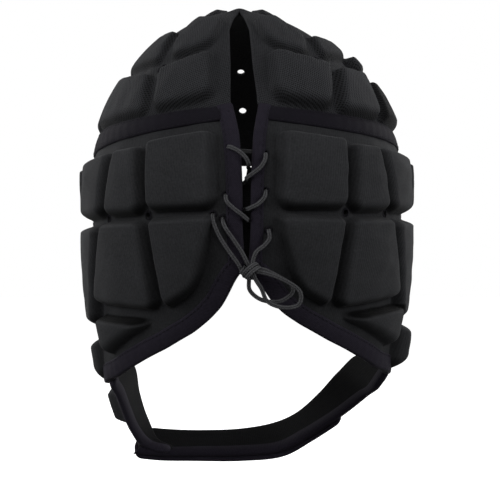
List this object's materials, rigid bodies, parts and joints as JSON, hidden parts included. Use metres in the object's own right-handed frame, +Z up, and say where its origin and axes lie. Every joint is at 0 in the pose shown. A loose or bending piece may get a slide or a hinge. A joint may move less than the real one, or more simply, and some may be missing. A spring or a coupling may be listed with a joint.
{
  "type": "padded headgear",
  "caption": "Soft padded sports cap with foam blocks in a mesh crown, knit ear flaps, a laced rear slit, taped edges and a closed chin strap.",
  "frame": {"origin": "inner top of the crown, where the cap sits on the head", "axes": "+X to the wearer's right, +Y to the wearer's front, +Z up"},
  "size_m": [0.1927, 0.203, 0.2721],
  "materials": {
    "crown_mesh": "fine charcoal mesh knit over foam",
    "knit": "smooth charcoal knit over foam",
    "tape": "matt purplish black folded tape with stitching",
    "strap": "matt black lining cloth",
    "lace": "round elastic cord with a light sheen"
  },
  "bodies": {
    "root": {"crown": "crown_mesh", "side_shell_left": "knit", "side_shell_right": "knit", "crown_pad_rear_left": "crown_mesh", "crown_pad_rear_side_left": "crown_mesh", "crown_pad_side_left": "crown_mesh", "crown_pad_front_side_left": "crown_mesh", "crown_pad_forehead_left": "crown_mesh", "crown_pad_top_rear_left": "crown_mesh", "crown_pad_top_side_left": "crown_mesh", "crown_pad_top_ear_left": "crown_mesh", "crown_pad_top_front_side_left": "crown_mesh", "crown_pad_top_forehead_left": "crown_mesh", "crown_pad_summit_left": "crown_mesh", "crown_pad_rear_right": "crown_mesh", "crown_pad_rear_side_right": "crown_mesh", "crown_pad_side_right": "crown_mesh", "crown_pad_front_side_right": "crown_mesh", "crown_pad_forehead_right": "crown_mesh", "crown_pad_top_rear_right": "crown_mesh", "crown_pad_top_side_right": "crown_mesh", "crown_pad_top_ear_right": "crown_mesh", "crown_pad_top_front_side_right": "crown_mesh", "crown_pad_top_forehead_right": "crown_mesh", "crown_pad_summit_right": "crown_mesh", "side_pad_square_left": "knit", "side_pad_rear_side_left": "knit", "side_pad_side_left": "knit", "side_pad_temple_left": "knit", "side_pad_shield_left": "knit", "side_pad_lower_side_left": "knit", "side_pad_ear_left": "knit", "side_pad_triangle_left": "knit", "side_pad_cheek_left": "knit", "side_pad_square_right": "knit", "side_pad_rear_side_right": "knit", "side_pad_side_right": "knit", "side_pad_temple_right": "knit", "side_pad_shield_right": "knit", "side_pad_lower_side_right": "knit", "side_pad_ear_right": "knit", "side_pad_triangle_right": "knit", "side_pad_cheek_right": "knit", "cheek_tab_pad": "knit", "seam_band_left": "tape", "seam_band_right": "tape", "slit_binding_left": "tape", "slit_binding_right": "tape", "hem_binding_left": "tape", "hem_binding_right": "tape", "brow_binding": "tape", "chin_strap": "strap", "cheek_tab": "strap", "strap_facing": "strap", "slit_tongue": "strap", "lace_run": "lace", "lace_tail": "lace", "lace_loop_inner": "lace", "lace_loop_outer": "lace", "lace_knot": "lace"}
  },
  "joints": []
}
